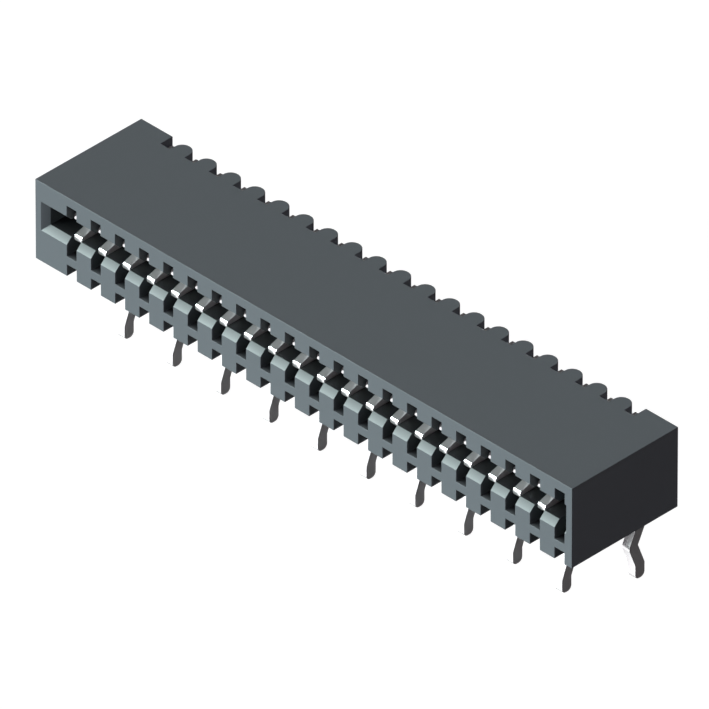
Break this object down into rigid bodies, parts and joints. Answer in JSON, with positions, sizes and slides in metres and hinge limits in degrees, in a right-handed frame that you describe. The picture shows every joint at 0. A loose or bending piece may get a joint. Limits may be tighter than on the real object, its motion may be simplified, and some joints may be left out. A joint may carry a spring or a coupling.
{
  "type": "flat ribbon cable connector",
  "caption": "Right-angle through-hole socket for a flat flexible cable: a slotted plastic housing with a row of fork contacts and two staggered rows of kinked solder tails.",
  "frame": {"origin": "middle of the housing's underside, on the face of the board", "axes": "+Z away from the board, +X along the row of contacts, the cable goes in from the -Y side"},
  "size_m": [0.0274, 0.0055, 0.0074],
  "materials": {
    "housing_plastic": "moulded dark slate grey plastic with a fine matt texture",
    "contact_metal": "phosphor bronze strip, stamped and plated with bright tin"
  },
  "bodies": {
    "root": {"housing": "housing_plastic", "contact_01": "contact_metal", "contact_02": "contact_metal", "contact_03": "contact_metal", "contact_04": "contact_metal", "contact_05": "contact_metal", "contact_06": "contact_metal", "contact_07": "contact_metal", "contact_08": "contact_metal", "contact_09": "contact_metal", "contact_10": "contact_metal", "contact_11": "contact_metal", "contact_12": "contact_metal", "contact_13": "contact_metal", "contact_14": "contact_metal", "contact_15": "contact_metal", "contact_16": "contact_metal", "contact_17": "contact_metal", "contact_18": "contact_metal", "contact_19": "contact_metal", "contact_20": "contact_metal"}
  },
  "joints": []
}
